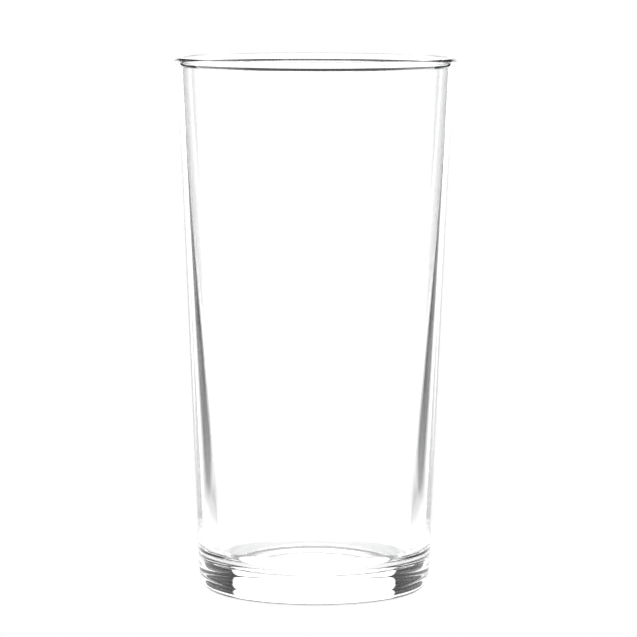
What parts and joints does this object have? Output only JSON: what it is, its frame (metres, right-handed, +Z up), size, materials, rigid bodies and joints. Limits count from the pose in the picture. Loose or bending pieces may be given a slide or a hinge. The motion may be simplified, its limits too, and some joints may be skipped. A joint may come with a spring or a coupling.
{
  "type": "pint glass",
  "caption": "Straight-sided conical drinking tumbler of clear glass, with a rolled rim, a wall that thickens downwards and a heavy solid foot.",
  "frame": {"origin": "centre of the foot, on the plane that the glass stands on", "axes": "+Z up the glass's axis, from the foot to the mouth; the glass is round, so +X and +Y are any two square directions across it"},
  "size_m": [0.084, 0.084, 0.159],
  "materials": {
    "glass": "clear, colourless, fire-polished"
  },
  "bodies": {
    "root": {"glass_body": "glass"}
  },
  "joints": []
}
